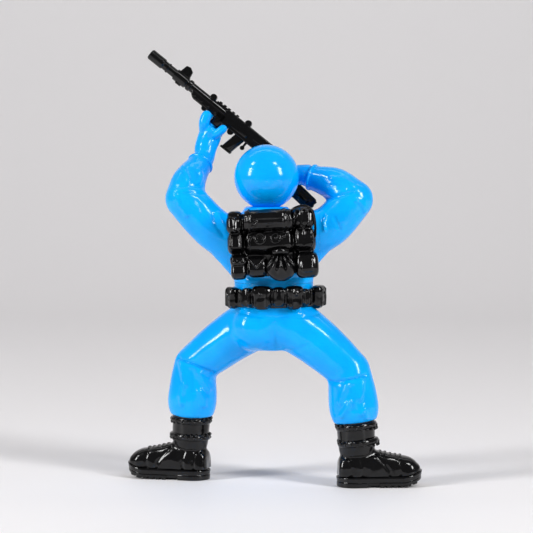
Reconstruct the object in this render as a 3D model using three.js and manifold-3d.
// Toy soldier in glossy moulded plastic: wide stance, rifle raised across the head, pack on the back.
// The head, waist, shoulders and boots turn; the pack pulls off and the rifle lifts out of the hands.
// Millimetres. +Z is up, +Y is the way the figure faces, +X is the figure's right-hand side.

import * as THREE from 'three';
import { mergeVertices } from 'three/addons/utils/BufferGeometryUtils.js';
import Module from 'manifold-3d';

const wasm = await Module();
wasm.setup();

// Fits
const fit = 0.3; // gap between pieces that seat on each other
const bury = 0.8; // how far a peg or raised detail roots into the piece that carries it
const cutReach = 160; // edge of the block that cuts a piece off at a plane

// Facets
const bodySides = 16;
const limbSides = 12;
const fingerSides = 6;
const pegSides = 12;
const ballSides = 22;
const bootSides = 12;
const eyeSides = 8;
const pouchCorner = 1; // facets round one corner of a pouch
const openingCorner = 3;

// Stance, heights from the floor and reaches from the waist axis
const bootHeight = 17;
const kneeHeight = 30;
const hipHeight = 41.8;
const crotchHeight = 35.4;
const waistHeight = 52.3;
const hipReach = 5;
const leftKneeReach = 21.7;
const leftAnkleReach = 22.5;
const leftLegTurn = 16; // turns in degrees, forwards
const leftToeTurn = 14;
const rightKneeReach = 20.3;
const rightAnkleReach = 22;
const rightLegTurn = -16;
const rightToeTurn = 4;
const kneeTilt = 15; // degrees the knee seam leans inwards

// Hips and thighs, half sizes of the oval sections
const waistHalfWidth = 10.3;
const waistHalfDepth = 7.7;
const hipHalfWidth = 10.6;
const hipHalfDepth = 8.2;
const seatHalfWidth = 6.2;
const seatHalfDepth = 6.6;
const crotchHalf = 4.4;
const buttockRadius = 5.6;
const buttockSpread = 4.9;
const buttockBack = 3.4;
const buttockDrop = 11.6; // below the waist
const thighRootHalf = 6.9;
const thighMiddleHalf = 6.2;
const thighBow = 0.6; // of the thigh above a straight line to the knee
const kneeHalf = 5.3;
const thighDepthRatio = 1.06;

// Shins
const calfHalf = 6;
const blouseHalf = 6.2;
const blouseRise = 2.6; // of the fullest part of the trouser end above its hem
const hemHalf = 5.4;
const kneePegRadius = 2;
const kneePegLength = 4;

// Boots
const shaftHalf = 4.9;
const ankleHalf = 4.3;
const ankleHeight = 8.6;
const strapHeight = 1.9;
const strapProud = 0.35;
const strapGap = 2; // between the two straps
const buckleSize = 1.3;
const buckleHeight = 1.6;
const heelReach = 4.6; // behind the ankle
const toeReach = 16.7; // in front of the ankle
const footHalfWidth = 4;
const toeHalfWidth = 4.4;
const heelHeight = 8; // of the upper at the very back
const heelHalfWidth = 2;
const instepHeight = 10.2;
const instepReach = 6;
const vampHeight = 8; // half-way from the instep to the toe
const toeHeight = 6.6; // top of the toe cap
const toeRoundHalfWidth = 3.8;
const tipHeight = 4.8; // of the upper at the very front
const tipHalfWidth = 1.9;
const soleThickness = 2.8;
const soleRim = 0.35; // sole beyond the upper
const heelLength = 7.4;
const archLength = 2.9;
const archHeight = 0.8;
const treadGroove = 0.7;
const treadPitch = 1.9;
const treadCount = 5;
const bootPegRadius = 2.4;
const bootPegLength = 5;

// Belt, its pouches and its buckle
const beltHeight = 4.7;
const beltDrop = 1.2; // of the belt's top edge below the waist joint
const beltThickness = 1.1;
const pouchDepth = 1.8;
const pouchHeight = 5.6;
const slimPouchHeight = 4.6;
const widePouchWidth = 4.7;
const pouchWidth = 4.2;
const slimPouchWidth = 3.3;
const backPouches = [
  { turn: -67, width: pouchWidth, height: pouchHeight }, // turn in degrees from the middle of the back
  { turn: -38, width: slimPouchWidth, height: slimPouchHeight },
  { turn: -15, width: widePouchWidth, height: pouchHeight },
  { turn: 26, width: pouchWidth, height: pouchHeight },
  { turn: 75, width: widePouchWidth, height: pouchHeight },
];
const loopPouch = { turn: 6, width: slimPouchWidth, height: slimPouchHeight };
const frontPouch = { turn: 140, width: widePouchWidth, height: slimPouchHeight };
const buckleWidth = 5;
const buckleThickness = 1;
const bucklePegRadius = 0.9;

// Torso, heights from the waist joint
const shoulderRise = 12.9;
const shoulderReach = 11.7; // from the middle plane to the flat face the arm turns on
const ribHalfWidth = 10.9;
const chestHalfDepth = 7.5;
const shoulderBoss = 5.4;
const shoulderTopRise = 16.6;
const shoulderTopHalfWidth = 10.6;
const shoulderTopHalfDepth = 6.4;
const neckBaseRise = 18.5;
const neckBaseHalfWidth = 6.6;
const neckBaseHalfDepth = 5;
const neckOffset = -1.9; // the figure leans its neck towards the rifle
const collarRadius = 5.8;
const collarRise = 19.9;
const pocketWidth = 5.4;
const pocketHeight = 5;
const pocketProud = 0.5;
const pocketSpread = 5.2;
const pocketRise = 12.2;
const placketWidth = 2.2;

// Studs that turn in the split torso: neck, waist and shoulders
const studRadius = 2.3;
const studReach = 3.6;
const studFlangeRadius = 3.3;
const studFlangeThickness = 1.1;

// Screws that close the torso under the pack
const screwSpread = 6.2;
const screwRise = 8.2;
const screwRadius = 0.8;
const screwHeadRadius = 1.5;
const screwHeadHeight = 1;
const screwLength = 9;
const screwSink = 4.6; // of the head below the widest point of the back

// Head and helmet
const headRadius = 8.4;
const headRise = 27.6;
const helmetWall = 1.1;
const faceWidth = 9.6;
const faceTop = 2.4; // of the helmet opening above the ball's centre
const faceBottom = 5.8;
const noseLength = 2.6;
const noseWidth = 1.5;
const eyeSpread = 2.2;
const eyeRadius = 1.1;
const eyeSocketRadius = 1.65;
const eyeSink = 1; // of the eye behind the face, and of its socket in front of it
const browDrop = 0.9;
const mouthWidth = 2.9;
const mouthDrop = 4;
const mouthGroove = 0.3;

// Arms, places measured outwards, forwards and upwards from the shoulder axis
const leftRoot = { out: 9.2, forward: 0, up: -2.8 };
const leftUpper = { out: 16.2, forward: 0.3, up: 1.6 };
const leftElbow = { out: 23.1, forward: 1.3, up: 8.9 };
const leftForearm = { out: 22.1, forward: 4.6, up: 13.4 };
const leftCuff = { out: 19.1, forward: 9.6, up: 18.1 };
const rightRoot = { out: 9.2, forward: 0, up: -0.4 };
const rightUpper = { out: 15, forward: 0.4, up: 2.3 };
const rightElbow = { out: 20.7, forward: 1.2, up: 8.8 };
const rightForearm = { out: 15.8, forward: 4, up: 13 };
const rightCuff = { out: 9.6, forward: 6.6, up: 15.1 };
const armRootHalf = 6;
const upperArmHalf = 5.4;
const elbowHalf = 5.1;
const forearmHalf = 4.7;
const cuffHalf = 3.5;
const cuffNeck = 0.15; // how much the sleeve draws in on each side of the cuff band
const cuffBand = 1.7;
const wristHalf = 2.75;
const wristPegRadius = 1.5;
const wristPegLength = 3;

// Rifle, measured along its barrel from the pistol grip and up from its barrel line
const rifleOffset = 4.15; // of the grip to the right of the ball's centre
const rifleForward = 12.3; // of the barrel line in front of the ball's centre
const rifleRise = 3.9; // of the barrel line over the grip above the ball's centre
const riflePitch = 38.9;
const rifleYaw = 4;
const muzzleReach = 44.9;
const hiderLength = 4.8;
const hiderRadius = 1.45;
const barrelRadius = 1.2;
const sightReach = 34.2;
const sightHeight = 3.9;
const sightLength = 3.6;
const sightTopLength = 1.6;
const lugDrop = 1.9;
const forendStart = 19;
const forendEnd = 31.2;
const forendRadius = 1.3;
const forendDrop = 2.2;
const forendKnob = { reach: 24.7, height: -2.2, radius: 0.8 };
const gunHalfThickness = 1.3;
const tongueReach = 19.9; // middle of the lug the left hand holds
const tongueLength = 3.2;
const tongueDrop = 4.2;
const receiverEnd = -3;
const receiverTop = 1.6;
const receiverDrop = 2.5;
const railStart = 15.6;
const railEnd = 23.1;
const railHeight = 1.95;
const frontKnob = { reach: 24.5, height: 1.55, radius: 0.95 };
const rearKnob = { reach: 13, height: 1.9, radius: 0.95 };
const catchKnob = { reach: 15.4, height: -2.7, radius: 0.9 };
const magazineReach = 12;
const magazineLength = 3;
const magazineDrop = 7.3;
const magazineSlant = 0.2;
const gripLength = 2.7;
const gripDrop = 8;
const gripSlant = 0.12;
const guardReach = 7.2;
const guardDrop = 4.4;
const guardThickness = 0.7;
const stockReach = 14; // behind the grip
const stockBend = 7.6; // where the stock stops dropping away
const stockTopDrop = 1.9; // of its upper edge there, and of its lower edge
const stockDrop = 5.8;
const buttTopDrop = 2.4;
const buttDrop = 6.3;

// Hands
const palmHalf = 3;
const palmDepth = 2.5;
const fingerRadius = 1.25;
const indexRoot = 21;
const indexReach = 22.8;
const thumbRoot = 17.8;
const thumbReach = 17.1;
const fingerTipDrop = 3.3; // of the left fingertips' centres below the barrel line
const knuckleDrop = 4.9;
const fingerPitch = 2.3; // between the fingers behind the rifle
const fistHalf = 2.5;
const headClearance = 1; // between the right hand and the helmet, which turns beside it
const fistDrop = 5;

// Backpack, measured on the back face from the peg
const packPegRise = 10.4; // above the waist joint
const packPegRadius = 1.7;
const packPegLength = 3.4;
const packHug = 1.8; // how far the pack wraps forward round the back
const packWidth = 13.4;
const packHeight = 17.6;
const packDepth = 4.6;
const packRise = 0.8; // of the middle of the pack above its peg
const packTilt = 2.6; // degrees, its right side up
const columnWidth = 5.6;
const columnHeight = 12;
const columnDepth = 5.4;
const lowerPouchWidth = 5.4;
const lowerPouchHeight = 6.4;
const lowerPouchDepth = 5.8;
const rollRadius = 2.7;
const panelHeight = 5;
const panelDepth = 1.3;
const eyeletRadius = 1.6;
const eyeletWire = 0.4;
const leftEyelet = -3.6; // across the pack from its middle
const rightEyelet = 0.6;
const smallPocketPlace = -3.6;
const smallPocketWidth = 4.4;
const smallPocketHeight = 5.6;
const fanPlace = 1.9;
const fanRadius = 3.7;
const fanPleats = 9;
const fanPleatDepth = 0.35;
const softEdge = 0.6; // rounding of moulded pouch edges

const radians = THREE.MathUtils.degToRad;
const point = (x, y, z) => new THREE.Vector3(x, y, z);
const upward = point(0, 0, 1);
const forward = point(0, 1, 0);
const sideways = point(1, 0, 0);
const fullTurn = Math.PI * 2;

// Solids: geometry in, closed body out, joined and cut as bodies
const mergeDistance = 1e-4;

function solid(geometry) {
  const bare = geometry.clone();
  const extras = Object.keys(bare.attributes).filter((name) => name !== 'position');
  extras.forEach((name) => bare.deleteAttribute(name));
  const merged = mergeVertices(bare, mergeDistance);
  const faces = [];
  for (let i = 0; i < merged.index.count; i += 3) {
    const [a, b, c] = [merged.index.getX(i), merged.index.getX(i + 1), merged.index.getX(i + 2)];
    if (a !== b && b !== c && c !== a) faces.push(a, b, c);
  }
  const vertProperties = Float32Array.from(merged.attributes.position.array);
  const triVerts = Uint32Array.from(faces);
  return new wasm.Manifold(new wasm.Mesh({ numProp: 3, vertProperties, triVerts }));
}

const join = (bodies) => bodies.reduce((whole, body) => whole.add(body));
const cut = (body, tools) => tools.reduce((whole, tool) => whole.subtract(tool), body);

function named(name, body, material) {
  const { vertProperties, triVerts } = body.getMesh();
  const geometry = new THREE.BufferGeometry();
  geometry.setAttribute('position', new THREE.BufferAttribute(Float32Array.from(vertProperties), 3));
  geometry.setIndex(new THREE.BufferAttribute(Uint32Array.from(triVerts), 1));
  geometry.computeVertexNormals();
  const mesh = new THREE.Mesh(geometry, material);
  mesh.name = name;
  return mesh;
}

// Skinned forms: oval sections along a smooth line, with flat or domed ends
const domeAngles = [42, 74].map(radians);
const station = (at, across, deep = across) => ({ at, across, deep });

function sections(stations, ringsPerSpan, heading) {
  const line = new THREE.CatmullRomCurve3(stations.map(({ at }) => at));
  const sizes = new THREE.CatmullRomCurve3(stations.map(({ across, deep }) => point(across, deep, 0)));
  const count = (stations.length - 1) * ringsPerSpan;
  return Array.from({ length: count + 1 }, (_, i) => ({
    centre: line.getPoint(i / count),
    along: heading ?? line.getTangent(i / count),
    half: sizes.getPoint(i / count),
  }));
}

function dome(end, sense) {
  return domeAngles.map((angle) => ({
    centre: end.centre.clone().addScaledVector(end.along, sense * end.half.x * Math.sin(angle)),
    along: end.along,
    half: end.half.clone().multiplyScalar(Math.cos(angle)),
  }));
}

function skin(rings, deepAxis, sides) {
  const places = [];
  const faces = [];
  rings.forEach(({ centre, along, half }) => {
    const front = deepAxis.clone().addScaledVector(along, -deepAxis.dot(along)).normalize();
    const side = point(0, 0, 0).crossVectors(front, along);
    for (let k = 0; k < sides; k += 1) {
      const angle = (k / sides) * fullTurn;
      const place = centre.clone().addScaledVector(side, half.x * Math.cos(angle));
      places.push(...place.addScaledVector(front, half.y * Math.sin(angle)));
    }
  });
  const corner = (ring, k) => ring * sides + (k % sides);
  const last = rings.length - 1;
  const startCentre = rings.length * sides;
  const endCentre = startCentre + 1;
  places.push(...rings[0].centre, ...rings[last].centre);
  for (let k = 0; k < sides; k += 1) {
    for (let ring = 0; ring < last; ring += 1) {
      faces.push(corner(ring, k), corner(ring, k + 1), corner(ring + 1, k + 1));
      faces.push(corner(ring, k), corner(ring + 1, k + 1), corner(ring + 1, k));
    }
    faces.push(startCentre, corner(0, k + 1), corner(0, k));
    faces.push(endCentre, corner(last, k), corner(last, k + 1));
  }
  const geometry = new THREE.BufferGeometry();
  geometry.setAttribute('position', new THREE.Float32BufferAttribute(places, 3));
  return geometry.setIndex(faces);
}

// heading, where given, keeps every section square to one direction
function loft(stations, options = {}) {
  const { deepAxis = forward, sides = limbSides, ringsPerSpan = 2, heading, startDome, endDome } = options;
  const rings = sections(stations, ringsPerSpan, heading);
  const start = startDome ? dome(rings[0], -1).reverse() : [];
  const end = endDome ? dome(rings[rings.length - 1], 1) : [];
  return solid(skin([...start, ...rings, ...end], deepAxis, sides));
}

function finger(places, radius) {
  const stations = places.map((place) => station(place, radius));
  return loft(stations, {
    deepAxis: sideways,
    sides: fingerSides,
    ringsPerSpan: 1,
    startDome: true,
    endDome: true,
  });
}

// Turned, extruded and plane-cut forms
function aimed(geometry, origin, direction) {
  const turn = new THREE.Quaternion().setFromUnitVectors(upward, direction.clone().normalize());
  return geometry.applyQuaternion(turn).translate(origin.x, origin.y, origin.z);
}

function turned(profile, sides = pegSides) {
  const outline = profile.map(([radius, height]) => new THREE.Vector2(radius, height));
  return new THREE.LatheGeometry(outline, sides).rotateX(Math.PI / 2);
}

function peg(origin, direction, radius, length, root = bury) {
  const profile = [[0, -root], [radius, -root], [radius, length], [0, length]];
  return solid(aimed(turned(profile), origin, direction));
}

function stud(origin, direction, grow = 0) {
  const neck = studReach - studFlangeThickness - grow;
  const profile = [
    [0, -bury - grow],
    [studRadius + grow, -bury - grow],
    [studRadius + grow, neck],
    [studFlangeRadius + grow, neck],
    [studFlangeRadius + grow, studReach + grow],
    [0, studReach + grow],
  ];
  return solid(aimed(turned(profile), origin, direction));
}

function above(origin, normal) {
  const block = new THREE.BoxGeometry(cutReach, cutReach, cutReach).translate(0, 0, cutReach / 2);
  return solid(aimed(block, origin, normal));
}

function block(from, to) {
  const size = to.clone().sub(from);
  const middle = from.clone().add(to).multiplyScalar(1 / 2);
  return new THREE.BoxGeometry(size.x, size.y, size.z).translate(middle.x, middle.y, middle.z);
}

function roundedOutline(width, height, radius) {
  const shape = new THREE.Shape();
  const x = width / 2 - radius;
  const y = height / 2 - radius;
  shape.absarc(x, y, radius, 0, fullTurn / 4);
  shape.absarc(-x, y, radius, fullTurn / 4, fullTurn / 2);
  shape.absarc(-x, -y, radius, fullTurn / 2, (fullTurn * 3) / 4);
  shape.absarc(x, -y, radius, (fullTurn * 3) / 4, fullTurn);
  shape.closePath();
  return shape;
}

// A soft-edged pad: width along X, height along Z, standing out along -Y from its back face
function pad(width, height, thickness, edge = softEdge, curveSegments = pouchCorner) {
  const shape = roundedOutline(width, height, edge * 2);
  const geometry = new THREE.ExtrudeGeometry(shape, {
    depth: thickness - edge * 2,
    bevelThickness: edge,
    bevelSize: edge,
    bevelOffset: -edge,
    bevelSegments: 1,
    curveSegments,
  });
  return geometry.translate(0, 0, edge).rotateX(Math.PI / 2);
}

function oval(halfWidth, halfDepth, bottom, top) {
  const shape = new THREE.Shape().absellipse(0, 0, halfWidth, halfDepth, 0, fullTurn);
  const options = { depth: top - bottom, bevelEnabled: false, curveSegments: bodySides / 2 };
  return solid(new THREE.ExtrudeGeometry(shape, options).translate(0, 0, bottom));
}

// Side view outlines, drawn in X and Z and given a thickness across Y
function plate(outline, thickness) {
  const shape = new THREE.Shape(outline.map(([x, z]) => new THREE.Vector2(x, z)));
  const geometry = new THREE.ExtrudeGeometry(shape, { depth: thickness, bevelEnabled: false });
  return geometry.rotateX(Math.PI / 2).translate(0, thickness / 2, 0);
}

// Lower body
function legPlan(side, kneeReach, ankleReach, legTurn, toeTurn) {
  const heading = (turn) => point(side * Math.cos(radians(turn)), Math.sin(radians(turn)), 0);
  const outward = heading(legTurn);
  const along = (reach, height) => outward.clone().multiplyScalar(reach).setZ(height);
  const knee = along(kneeReach, kneeHeight);
  const ankle = along(ankleReach, bootHeight);
  const kneeNormal = upward.clone().multiplyScalar(Math.cos(radians(kneeTilt)));
  return {
    along,
    knee,
    ankle,
    toes: heading(toeTurn),
    deepAxis: point(0, 0, 0).crossVectors(upward, outward),
    shinAxis: knee.clone().sub(ankle).normalize(),
    kneeNormal: kneeNormal.addScaledVector(outward, -Math.sin(radians(kneeTilt))),
  };
}

const leftLeg = legPlan(-1, leftKneeReach, leftAnkleReach, leftLegTurn, leftToeTurn);
const rightLeg = legPlan(1, rightKneeReach, rightAnkleReach, rightLegTurn, rightToeTurn);
const lifted = (place, direction, distance) => place.clone().addScaledVector(direction, distance);
const beltTop = waistHeight - beltDrop;
const beltBottom = beltTop - beltHeight;

function thigh({ along, knee, deepAxis, kneeNormal }) {
  const root = along(hipReach, hipHeight);
  const middle = root.clone().lerp(knee, 1 / 2).addScaledVector(upward, thighBow);
  const stations = [
    station(root, thighRootHalf, thighRootHalf * thighDepthRatio),
    station(middle, thighMiddleHalf, thighMiddleHalf * thighDepthRatio),
    station(knee, kneeHalf, kneeHalf),
  ];
  const form = loft(stations, { deepAxis, startDome: true, endDome: true });
  const socket = peg(lifted(knee, kneeNormal, fit), kneeNormal, kneePegRadius + fit, kneePegLength);
  return cut(form, [above(lifted(knee, kneeNormal, fit / 2), kneeNormal.clone().negate()), socket]);
}

function hips() {
  const middle = (height) => point(0, 0, height);
  const pelvis = loft([
    station(middle(crotchHeight), crotchHalf, crotchHalf),
    station(middle((crotchHeight + hipHeight) / 2), seatHalfWidth, seatHalfDepth),
    station(middle(hipHeight), hipHalfWidth, hipHalfDepth),
    station(middle(beltBottom), waistHalfWidth, waistHalfDepth),
  ], { sides: bodySides });
  const buttock = (side) => solid(new THREE.SphereGeometry(buttockRadius, bootSides, bootSides / 2)
    .translate(side * buttockSpread, -buttockBack, waistHeight - buttockDrop));
  const form = join([pelvis, buttock(-1), buttock(1), thigh(leftLeg), thigh(rightLeg)]);
  const lower = cut(form, [above(middle(beltBottom - fit), upward)]);
  const rim = oval(waistHalfWidth, waistHalfDepth, beltBottom - bury, waistHeight);
  return join([lower, rim, stud(middle(waistHeight), upward)]);
}

function shin({ knee, ankle, deepAxis, shinAxis, kneeNormal }) {
  const length = knee.distanceTo(ankle);
  const up = (distance) => lifted(ankle, shinAxis, distance);
  const form = loft([
    station(up(fit), hemHalf, hemHalf),
    station(up(blouseRise), blouseHalf, blouseHalf),
    station(up((blouseRise + length) / 2), calfHalf, calfHalf),
    station(up(length), kneeHalf, kneeHalf),
    station(up(length + kneeHalf / 2), kneeHalf, kneeHalf),
  ], { deepAxis });
  const top = lifted(knee, kneeNormal, -fit / 2);
  const cuffed = cut(form, [above(top, kneeNormal)]);
  const socket = peg(up(0), shinAxis, bootPegRadius + fit, bootPegLength + fit);
  return cut(join([cuffed, peg(top, kneeNormal, kneePegRadius, kneePegLength - fit)]), [socket]);
}

const footFrame = ({ toes, ankle }) => new THREE.Matrix4()
  .makeBasis(toes, point(0, 0, 0).crossVectors(upward, toes), upward)
  .setPosition(ankle.x, ankle.y, 0);

function footOutline(margin) {
  const shape = new THREE.Shape();
  const heelHalf = footHalfWidth + margin;
  const toeHalf = toeHalfWidth + margin;
  const heelCentre = footHalfWidth - heelReach;
  const toeCentre = toeReach - toeHalfWidth;
  shape.absarc(heelCentre, 0, heelHalf, fullTurn / 4, (fullTurn * 3) / 4);
  shape.lineTo(instepReach, -footHalfWidth);
  shape.absellipse(toeCentre, 0, toeHalf, toeHalf, -fullTurn / 4, fullTurn / 4);
  shape.lineTo(instepReach, footHalfWidth);
  shape.closePath();
  return shape;
}

function sole(leg) {
  const options = { depth: soleThickness, bevelEnabled: false, curveSegments: 8 };
  const body = solid(new THREE.ExtrudeGeometry(footOutline(soleRim), options));
  const across = footHalfWidth * 2;
  const slot = (from, to, height) => solid(block(point(from, -across, -bury), point(to, across, height)));
  const archStart = heelLength - heelReach;
  const grooves = Array.from({ length: treadCount }, (_, i) => {
    const start = archStart + archLength + treadPitch * (i + 1 / 2);
    return slot(start, start + treadGroove, archHeight / 2);
  });
  return cut(body, [slot(archStart, archStart + archLength, archHeight), ...grooves]);
}

function boot({ toes, ankle, shinAxis }) {
  const frame = footFrame({ toes, ankle });
  const lateral = point(0, 0, 0).crossVectors(upward, toes);
  const place = (reach, height) => point(reach, 0, height).applyMatrix4(frame);
  const floor = soleThickness + fit;
  const arch = (reach, top, halfWidth) => station(place(reach, floor), top - floor, halfWidth);
  const foot = loft([
    arch(-heelReach, heelHeight, heelHalfWidth),
    arch(-heelReach / 2, ankleHeight, footHalfWidth),
    arch(instepReach / 3, instepHeight + bury, footHalfWidth),
    arch(instepReach, instepHeight, footHalfWidth),
    arch((instepReach + toeReach) / 2, vampHeight, toeHalfWidth),
    arch(toeReach - toeHalfWidth / 2, toeHeight, toeRoundHalfWidth),
    arch(toeReach, tipHeight, tipHalfWidth),
  ], { deepAxis: lateral, sides: bootSides, ringsPerSpan: 1 });
  const up = (height) => point(ankle.x, ankle.y, height);
  const shaft = loft([
    station(up(floor + ankleHalf / 2), ankleHalf, footHalfWidth),
    station(up(ankleHeight), ankleHalf, ankleHalf),
    station(up((ankleHeight + bootHeight) / 2), shaftHalf, shaftHalf),
    station(up(bootHeight + shaftHalf), shaftHalf, shaftHalf),
  ], { deepAxis: lateral, sides: bootSides });
  const strap = (middle) => {
    const half = shaftHalf + strapProud;
    const edge = shaftHalf - strapProud;
    const level = (share) => lifted(ankle, shinAxis, middle + share * strapHeight);
    const stations = [station(level(-1 / 2), edge), station(level(-1 / 4), half)];
    stations.push(station(level(1 / 4), half), station(level(1 / 2), edge));
    return loft(stations, { deepAxis: lateral, sides: bootSides, ringsPerSpan: 1 });
  };
  const upperStrap = -strapHeight / 2;
  const straps = [upperStrap, upperStrap - strapHeight - strapGap];
  const buckle = (middle) => {
    const seat = lifted(lifted(ankle, shinAxis, middle), toes, shaftHalf);
    return solid(aimed(new THREE.BoxGeometry(buckleSize, buckleSize, buckleHeight), seat, shinAxis));
  };
  const whole = join([foot, shaft, ...straps.map(strap), ...straps.map(buckle)]);
  const trimmed = cut(whole, [above(ankle, shinAxis), above(point(0, 0, floor), point(0, 0, -1))]);
  return join([trimmed, peg(ankle, shinAxis, bootPegRadius, bootPegLength)]);
}

// Belt
function ovalPlace(degrees, halfWidth, halfDepth) {
  const angle = radians(degrees);
  const normal = point(Math.sin(angle) / halfWidth, -Math.cos(angle) / halfDepth, 0).normalize();
  return { at: point(halfWidth * Math.sin(angle), -halfDepth * Math.cos(angle), 0), normal };
}

function beltPad({ turn, width, height }, thickness, bottom = beltBottom) {
  const { at, normal } = ovalPlace(turn, waistHalfWidth + beltThickness, waistHalfDepth + beltThickness);
  const heading = Math.atan2(normal.y, normal.x) + fullTurn / 4;
  const geometry = pad(width, height, thickness + bury).translate(0, bury, 0).rotateZ(heading);
  return solid(geometry.translate(at.x, at.y, bottom + height / 2));
}

function belt() {
  const outer = oval(waistHalfWidth + beltThickness, waistHalfDepth + beltThickness, beltBottom, beltTop);
  const otherFront = { ...frontPouch, turn: -frontPouch.turn };
  const pouches = [...backPouches, frontPouch, otherFront].map((pouch) => beltPad(pouch, pouchDepth));
  const loopBottom = beltBottom + (beltHeight - loopPouch.height) / 2;
  const loop = beltPad(loopPouch, pouchDepth / 2, loopBottom);
  const whole = join([outer, ...pouches, loop]);
  const opening = oval(waistHalfWidth + fit, waistHalfDepth + fit, beltBottom - bury, waistHeight + bury);
  const front = waistHalfDepth + beltThickness;
  const middle = (beltTop + beltBottom) / 2;
  const hole = peg(point(0, front, middle), point(0, -1, 0), bucklePegRadius + fit, beltThickness);
  return cut(whole, [opening, hole]);
}

function beltBuckle() {
  const front = waistHalfDepth + beltThickness;
  const middle = (beltTop + beltBottom) / 2;
  const face = pad(buckleWidth, beltHeight, buckleThickness, softEdge / 2).rotateZ(Math.PI);
  const form = solid(face.translate(0, front + fit, middle));
  return join([form, peg(point(0, front + fit, middle), point(0, -1, 0), bucklePegRadius, beltThickness)]);
}

// Torso
const torsoBottom = waistHeight + fit;
const shoulderHeight = waistHeight + shoulderRise;
const headCentre = point(neckOffset, 0, waistHeight + headRise);
const neckSeat = point(neckOffset, 0, headCentre.z - headRadius);

function trunk(grow = 0) {
  const level = (height, halfWidth, halfDepth, x = 0) => (
    station(point(x, 0, height), halfWidth + grow, halfDepth + grow));
  return loft([
    level(torsoBottom, waistHalfWidth, waistHalfDepth),
    level((torsoBottom + shoulderHeight) / 2, ribHalfWidth, chestHalfDepth),
    level(shoulderHeight, shoulderReach, chestHalfDepth),
    level(waistHeight + shoulderTopRise, shoulderTopHalfWidth, shoulderTopHalfDepth),
    level(waistHeight + neckBaseRise, neckBaseHalfWidth, neckBaseHalfDepth, neckOffset),
  ], { sides: bodySides, heading: upward });
}

function torsoForm() {
  const bossStart = point(-shoulderReach, 0, shoulderHeight);
  const boss = peg(bossStart, sideways, shoulderBoss, shoulderReach * 2, 0);
  const collarBase = point(neckOffset, 0, waistHeight + shoulderTopRise);
  const collar = peg(collarBase, upward, collarRadius, collarRise - shoulderTopRise, 0);
  const pocket = (side) => solid(pad(pocketWidth, pocketHeight, chestHalfDepth + pocketProud)
    .rotateZ(Math.PI).translate(side * pocketSpread, 0, waistHeight + pocketRise));
  const placketHeight = neckBaseRise - fit;
  const placket = solid(pad(placketWidth, placketHeight, chestHalfDepth + pocketProud / 2, softEdge / 2)
    .rotateZ(Math.PI).translate(0, 0, torsoBottom + placketHeight / 2));
  const whole = join([trunk(), boss, collar, pocket(-1), pocket(1), placket]);
  const sidePlane = (side) => above(point(side * shoulderReach, 0, 0), point(side, 0, 0));
  const ball = new THREE.SphereGeometry(headRadius + fit, ballSides, ballSides / 2);
  return cut(whole, [
    sidePlane(-1),
    sidePlane(1),
    solid(ball.translate(...headCentre)),
    stud(neckSeat, point(0, 0, -1), fit),
    stud(point(0, 0, waistHeight), upward, fit),
    stud(armSeat(-1), point(1, 0, 0), fit),
    stud(armSeat(1), point(-1, 0, 0), fit),
  ]);
}

const armSeat = (side) => point(side * (shoulderReach + fit), 0, shoulderHeight);
const screwHead = (side) => point(side * screwSpread, -screwSink, waistHeight + screwRise);

function screwForm(side, grow, headLength) {
  const profile = [
    [0, -headLength],
    [screwHeadRadius + grow, -headLength],
    [screwHeadRadius + grow, grow],
    [screwRadius + grow, grow],
    [screwRadius + grow, screwLength - screwHeadHeight + grow],
    [0, screwLength - screwHeadHeight + grow],
  ];
  return solid(aimed(turned(profile), screwHead(side), forward));
}

const torsoScrew = (side) => screwForm(side, 0, screwHeadHeight);

function torsoHalves() {
  const whole = cut(torsoForm(), [-1, 1].map((side) => screwForm(side, fit, chestHalfDepth)));
  const packHole = peg(packSeat, forward, packPegRadius + fit, packPegLength + fit);
  return {
    front: cut(whole, [above(point(0, fit / 2, 0), point(0, -1, 0))]),
    back: cut(whole, [above(point(0, -fit / 2, 0), forward), packHole]),
  };
}

// Head
function helmet() {
  const ball = (radius, sides) => (
    solid(new THREE.SphereGeometry(radius, sides, sides / 2).translate(...headCentre)));
  const opening = pad(faceWidth, faceTop + faceBottom, headRadius * 2, faceWidth / 5, openingCorner);
  const faceHeight = headCentre.z + (faceTop - faceBottom) / 2;
  const face = solid(opening.rotateZ(Math.PI).translate(headCentre.x, 0, faceHeight));
  const neck = peg(neckSeat, upward, studFlangeRadius + fit, headRadius, headRadius);
  return cut(ball(headRadius, ballSides), [ball(headRadius - helmetWall, bodySides), face, neck]);
}

function head() {
  const radius = headRadius - helmetWall - fit;
  const ball = solid(new THREE.SphereGeometry(radius, bodySides, bodySides / 2).translate(...headCentre));
  const at = (x, z) => {
    const ahead = Math.sqrt(radius * radius - x * x - z * z);
    return point(x, ahead, z).add(headCentre);
  };
  const socket = (side) => solid(new THREE.SphereGeometry(eyeSocketRadius, eyeSides, fingerSides)
    .translate(...at(side * eyeSpread, -browDrop).add(point(0, eyeSink, 0))));
  const eye = (side) => solid(new THREE.SphereGeometry(eyeRadius, eyeSides, fingerSides)
    .translate(...at(side * eyeSpread, -browDrop).add(point(0, -eyeSink, 0))));
  const bridge = at(0, -browDrop).add(point(0, -noseWidth / 2, 0));
  const tip = at(0, -noseLength);
  const nose = loft([station(bridge, noseWidth / 3), station(tip, noseWidth / 2)], {
    sides: fingerSides,
    startDome: true,
    endDome: true,
  });
  const mouthCorner = point(mouthWidth / 2, radius, mouthGroove / 2);
  const mouthMiddle = at(0, -mouthDrop).add(point(0, radius - mouthGroove, 0));
  const mouth = solid(block(mouthCorner.clone().negate(), mouthCorner).translate(...mouthMiddle));
  const face = join([cut(ball, [socket(-1), socket(1), mouth]), eye(-1), eye(1), nose]);
  const neck = peg(neckSeat, upward, studRadius, headRadius / 2);
  return join([face, neck, stud(neckSeat, point(0, 0, -1))]);
}

// Arms
const armPlace = (side, { out, forward: ahead, up }) => point(side * out, ahead, shoulderHeight + up);

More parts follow.
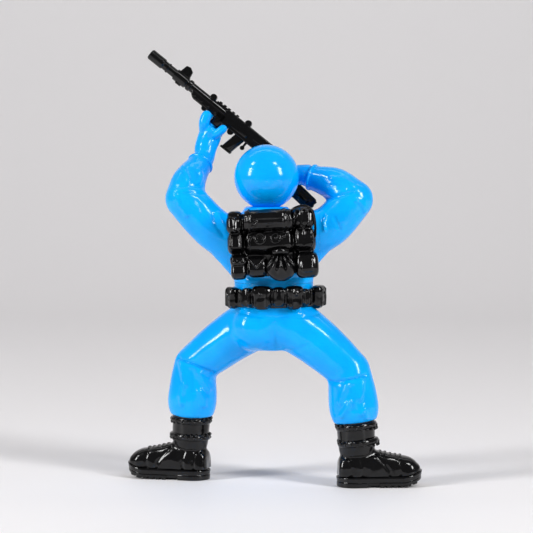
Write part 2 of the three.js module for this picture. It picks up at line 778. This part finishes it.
function sleeve(side, root, upper, elbow, forearm, cuff) {
  const bend = armPlace(side, elbow);
  const upperArm = loft([
    station(armPlace(side, root), armRootHalf, upperArmHalf),
    station(armPlace(side, upper), upperArmHalf),
    station(bend, elbowHalf),
  ], { endDome: true });
  const end = armPlace(side, cuff);
  const middle = armPlace(side, forearm);
  const back = end.clone().sub(middle).normalize();
  const lowerArm = loft([
    station(bend, elbowHalf),
    station(middle, forearmHalf),
    station(lifted(end, back, -cuffBand), cuffHalf - cuffNeck),
    station(lifted(end, back, -cuffBand / 2), cuffHalf),
    station(end, cuffHalf - cuffNeck),
  ], { startDome: true });
  const flat = above(armSeat(side), point(-side, 0, 0));
  const socket = peg(end, back.clone().negate(), wristPegRadius + fit, wristPegLength + fit);
  return join([cut(join([upperArm, lowerArm]), [flat, socket]), stud(armSeat(side), point(-side, 0, 0))]);
}

// Rifle, built along its own barrel line: +X to the muzzle, +Z up, +Y to the figure's back
const riflePose = (() => {
  const [pitch, yaw] = [radians(riflePitch), radians(rifleYaw)];
  const barrel = point(-Math.cos(pitch) * Math.cos(yaw), Math.sin(yaw), Math.sin(pitch) * Math.cos(yaw));
  const top = point(Math.sin(pitch), 0, Math.cos(pitch));
  const backward = point(0, 0, 0).crossVectors(top, barrel);
  return new THREE.Matrix4().makeBasis(barrel, backward, top)
    .setPosition(headCentre.x + rifleOffset, headCentre.y + rifleForward, headCentre.z + rifleRise);
})();
const inRifle = (place) => place.clone().applyMatrix4(riflePose.clone().invert());

function barrelTube(from, to, radius, sides = pegSides) {
  return solid(aimed(turned([[0, 0], [radius, 0], [radius, to - from], [0, to - from]], sides),
    point(from, 0, 0), point(1, 0, 0)));
}

function crossKnob({ reach, height, radius }) {
  const width = gunHalfThickness * 2;
  const profile = [[0, 0], [radius, 0], [radius, width], [0, width]];
  return solid(aimed(turned(profile), point(reach, -gunHalfThickness, height), forward));
}

const gripSet = gripDrop * gripSlant; // how far the grip's foot sits behind its top

// The stock's underside from the receiver to the butt, let down by a margin
const stockUnderside = (margin) => [
  [receiverEnd + bury + margin, -receiverDrop - margin],
  [-stockBend, -stockDrop - margin],
  [-stockReach - margin, -buttDrop - margin],
];

function gripOutline() {
  const half = gripLength / 2;
  return [[half, 0], [-half, 0], [-half - gripSet, -gripDrop], [half - gripSet, -gripDrop]];
}

// The space the slanting grip needs on its way straight up out of the fist
function gripSpace(thickness) {
  const half = gripLength / 2 + fit;
  const drop = gripDrop * 2;
  const back = -half - gripSet;
  return plate([[half, 0], [back, 0], [back, -drop], [half - gripSet, -drop]], thickness);
}

function rifle() {
  const thick = gunHalfThickness * 2;
  const receiver = solid(plate([
    [forendStart + bury, -receiverDrop],
    [forendStart + bury, receiverTop],
    [receiverEnd, receiverTop],
    [receiverEnd, -receiverDrop],
  ], thick));
  const forend = solid(plate([
    [forendEnd, 0],
    [forendStart, 0],
    [forendStart, -forendDrop],
    [forendEnd - bury, -forendDrop],
  ], thick));
  const tongue = solid(block(
    point(tongueReach - tongueLength / 2, -gunHalfThickness, -tongueDrop),
    point(tongueReach + tongueLength / 2, gunHalfThickness, 0),
  ));
  const sight = solid(plate([
    [sightReach + sightLength / 2, 0],
    [sightReach + sightTopLength / 2, sightHeight],
    [sightReach - sightTopLength / 2, sightHeight],
    [sightReach - sightLength / 2, 0],
  ], gunHalfThickness));
  const lug = solid(plate([
    [sightReach + sightLength / 2, 0],
    [sightReach - sightTopLength / 2, 0],
    [sightReach - sightTopLength / 2, -lugDrop],
    [sightReach + sightTopLength / 2, -lugDrop],
  ], gunHalfThickness));
  const railHalf = gunHalfThickness / 2;
  const rail = solid(block(point(railStart, -railHalf, 0), point(railEnd, railHalf, railHeight)));
  const slant = magazineDrop * magazineSlant;
  const magazine = solid(plate([
    [magazineReach + magazineLength / 2, 0],
    [magazineReach - magazineLength / 2, 0],
    [magazineReach - magazineLength / 2 + slant, -magazineDrop],
    [magazineReach + magazineLength / 2 + slant, -magazineDrop],
  ], thick - fit));
  const guardOuter = plate([
    [guardReach, 0],
    [0, 0],
    [0, -guardDrop],
    [guardReach - guardThickness * 2, -guardDrop],
  ], gunHalfThickness);
  const guardInner = plate([
    [guardReach - guardThickness, -receiverDrop - fit],
    [gripLength / 2 + fit, -receiverDrop - fit],
    [gripLength / 2 + fit, guardThickness - guardDrop],
    [guardReach - guardThickness * 2, guardThickness - guardDrop],
  ], thick);
  const guard = cut(solid(guardOuter), [solid(guardInner)]);
  const stock = solid(plate([
    [receiverEnd + bury, receiverTop - fit],
    [-stockBend, -stockTopDrop],
    [-stockReach, -buttTopDrop],
    ...stockUnderside(0).reverse(),
  ], thick + fit));
  return join([
    receiver, forend, tongue, sight, lug, rail, magazine, guard, stock,
    solid(plate(gripOutline(), thick)),
    barrelTube(forendStart, muzzleReach, barrelRadius),
    barrelTube(muzzleReach - hiderLength, muzzleReach, hiderRadius),
    barrelTube(forendStart, forendEnd, forendRadius),
    ...[frontKnob, rearKnob, forendKnob, catchKnob].map(crossKnob),
  ]);
}

// Hands, built in the rifle's own frame so that they close on it
function wristPart(side, forearm, cuff) {
  const end = armPlace(side, cuff);
  const onward = end.clone().sub(armPlace(side, forearm)).normalize();
  const face = inRifle(lifted(end, onward, fit));
  const direction = inRifle(lifted(end, onward, fit + 1)).sub(face);
  return { face, direction, plug: peg(face, direction.clone().negate(), wristPegRadius, wristPegLength) };
}

function leftHand() {
  const { face, direction, plug } = wristPart(-1, leftForearm, leftCuff);
  const top = point(tongueReach - tongueLength / 3, 0, -tongueDrop - fit - palmDepth);
  const palm = loft([
    station(face, wristHalf),
    station(lifted(face, direction, wristHalf / 2), wristHalf),
    station(top, palmHalf, palmDepth),
  ], { endDome: true });
  const clear = gunHalfThickness + fit + fingerRadius;
  const reachUp = (root, tip, out) => finger([
    point(root, out / 2, -tongueDrop - palmDepth),
    point((root + tip) / 2, out, -knuckleDrop),
    point(tip, out, -fingerTipDrop),
  ], fingerRadius);
  const index = reachUp(indexRoot, indexReach, clear);
  const thumb = reachUp(thumbRoot, thumbReach, clear);
  const others = [-1, 0, 1].map((step) => (
    reachUp(tongueReach + step * fingerRadius, tongueReach + step * fingerPitch, -clear)));
  const side = gunHalfThickness + fit;
  const tongueHalf = tongueLength / 2 + fit;
  const tongueLow = point(tongueReach - tongueHalf, -side, -tongueDrop - fit);
  const rifleSpace = [
    block(point(receiverEnd, -side, -forendDrop - fit), point(forendEnd, side, muzzleReach)),
    block(tongueLow, point(tongueReach + tongueHalf, side, 0)),
  ];
  return join([cut(join([palm, index, thumb, ...others]), rifleSpace.map(solid)), plug]);
}

function rightHand() {
  const { face, direction, plug } = wristPart(1, rightForearm, rightCuff);
  const slant = (drop) => -drop * gripSlant;
  const fistTop = point(slant(receiverDrop), 0, -receiverDrop - fit - fistHalf);
  const fistBottom = point(slant(fistDrop), 0, -receiverDrop - fistDrop + fistHalf / 2);
  const fist = loft([station(fistTop, fistHalf, fistHalf), station(fistBottom, fistHalf, fistHalf)], {
    deepAxis: forward,
    startDome: true,
    endDome: true,
  });
  const palm = loft([
    station(face, wristHalf),
    station(lifted(face, direction, wristHalf), wristHalf),
    station(point(slant(fistDrop), fistHalf, -receiverDrop - fistDrop / 2), fistHalf),
  ], { deepAxis: point(0, 0, 1), endDome: true });
  const side = gunHalfThickness + fit;
  const clearOf = (from, to, bottom) => (
    block(point(from, -side - fit, bottom - fit), point(to, side + fit / 2, muzzleReach)));
  const behind = -stockReach - fit;
  const overStock = [[receiverEnd + bury + fit, muzzleReach], [behind, muzzleReach]];
  const rifleSpace = [
    gripSpace(side * 2),
    clearOf(behind, muzzleReach, -receiverDrop),
    clearOf(-fit, muzzleReach, -guardDrop),
    plate([...overStock, ...stockUnderside(fit).reverse()], side * 2 + fit),
  ];
  const ball = new THREE.SphereGeometry(headRadius + headClearance, ballSides, ballSides / 2);
  ball.translate(...inRifle(headCentre));
  return join([cut(join([fist, palm]), [...rifleSpace, ball].map(solid)), plug]);
}

// Backpack
const packSeat = point(0, -chestHalfDepth - fit, waistHeight + packPegRise);

function backpack() {
  const middle = packRise;
  const top = middle + packHeight / 2;
  const bottom = middle - packHeight / 2;
  const lean = (geometry) => geometry.rotateY(-radians(packTilt)).translate(...packSeat);
  const put = (geometry, x, z, out = 0) => solid(lean(geometry.translate(x, -out, z)));
  const pouch = (width, height, depth, x, z) => put(pad(width, height, depth + packHug), x, z, -packHug);
  const outer = packWidth / 2 + columnWidth / 2 - bury;
  const flapMiddle = top - columnHeight / 4 - fit;
  const sides = [-1, 1].flatMap((side) => [
    pouch(columnWidth, columnHeight, columnDepth, side * outer, top - columnHeight / 2),
    pouch(columnWidth - fit, columnHeight / 2, columnDepth + fit, side * outer, flapMiddle),
    pouch(lowerPouchWidth, lowerPouchHeight, lowerPouchDepth, side * outer, bottom + lowerPouchHeight / 2),
  ]);
  const rollLength = packWidth - rollRadius * 2;
  const rollShape = new THREE.CapsuleGeometry(rollRadius, rollLength, 2, pegSides).rotateZ(Math.PI / 2);
  const roll = put(rollShape, 0, top - rollRadius, packDepth - rollRadius / 3);
  const panelTop = top - rollRadius * 2;
  const panel = pouch(packWidth - fit, panelHeight, packDepth + panelDepth, 0, panelTop - panelHeight / 2);
  const ring = (x) => {
    const wire = new THREE.TorusGeometry(eyeletRadius - eyeletWire, eyeletWire, fingerSides, eyeSides);
    return put(wire.rotateX(Math.PI / 2), x, panelTop - panelHeight / 2, packDepth + panelDepth);
  };
  const lowBottom = bottom + smallPocketHeight / 2;
  const pocketDepth = packDepth + panelDepth / 2;
  const pocket = pouch(smallPocketWidth, smallPocketHeight, pocketDepth, smallPocketPlace, lowBottom);
  const fan = put(pleatedBag(), fanPlace, bottom + fanRadius, packDepth);
  const body = pouch(packWidth, packHeight, packDepth, 0, middle);
  const whole = [body, ...sides, roll, panel, pocket, fan, ring(leftEyelet), ring(rightEyelet)];
  const hollowed = cut(join(whole), [trunk(fit)]);
  return join([hollowed, peg(packSeat, forward, packPegRadius, packPegLength)]);
}

// A round bag gathered into pleats that fan out from its neck
function pleatedBag() {
  const geometry = new THREE.SphereGeometry(fanRadius, fanPleats * 2, fingerSides).rotateX(Math.PI / 2);
  const place = geometry.attributes.position;
  for (let i = 0; i < place.count; i += 1) {
    const around = Math.atan2(place.getZ(i), place.getX(i));
    const pleat = 1 + (fanPleatDepth / fanRadius) * Math.cos(around * fanPleats);
    place.setXYZ(i, place.getX(i) * pleat, place.getY(i) / 2, place.getZ(i) * pleat);
  }
  return geometry;
}

// Assembly
const finish = (color, roughness, metalness = 0) => (
  new THREE.MeshStandardMaterial({ color, roughness, metalness }));
const blue = finish(0x00a2fb, 0.22);
const black = finish(0x0b0b0e, 0.2);
const steel = finish(0x9a9da1, 0.35, 1);

const halves = torsoHalves();
const figure = new THREE.Group();
figure.name = 'toy_soldier';
const lowerBody = new THREE.Group();
const upperBody = new THREE.Group();
const rifleGroup = new THREE.Group();
rifleGroup.applyMatrix4(riflePose);
rifleGroup.add(named('rifle', rifle(), black));
rifleGroup.add(named('left_hand', leftHand(), blue));
rifleGroup.add(named('right_hand', rightHand(), blue));
upperBody.add(named('torso_front', halves.front, blue));
upperBody.add(named('torso_back', halves.back, blue));
upperBody.add(named('torso_screw_left', torsoScrew(-1), steel));
upperBody.add(named('torso_screw_right', torsoScrew(1), steel));
upperBody.add(named('head', head(), blue));
upperBody.add(named('helmet', helmet(), blue));
const leftSleeve = sleeve(-1, leftRoot, leftUpper, leftElbow, leftForearm, leftCuff);
const rightSleeve = sleeve(1, rightRoot, rightUpper, rightElbow, rightForearm, rightCuff);
upperBody.add(named('left_arm', leftSleeve, blue));
upperBody.add(named('right_arm', rightSleeve, blue));
upperBody.add(named('backpack', backpack(), black));
upperBody.add(rifleGroup);
lowerBody.add(named('hips', hips(), blue));
lowerBody.add(named('belt', belt(), black));
lowerBody.add(named('belt_buckle', beltBuckle(), black));
[['left', leftLeg], ['right', rightLeg]].forEach(([side, leg]) => {
  lowerBody.add(named(`${side}_shin`, shin(leg), blue));
  lowerBody.add(named(`${side}_boot`, boot(leg), black));
  const soleMesh = named(`${side}_sole`, sole(leg), black);
  soleMesh.applyMatrix4(footFrame(leg));
  lowerBody.add(soleMesh);
});
figure.add(lowerBody, upperBody);

// The origin is the middle of the bounding box, on the floor
figure.updateMatrixWorld(true);
const extent = new THREE.Box3().setFromObject(figure, true);
const middleOfBox = extent.getCenter(point(0, 0, 0));
figure.position.set(-middleOfBox.x, -middleOfBox.y, -extent.min.z);

export default figure;
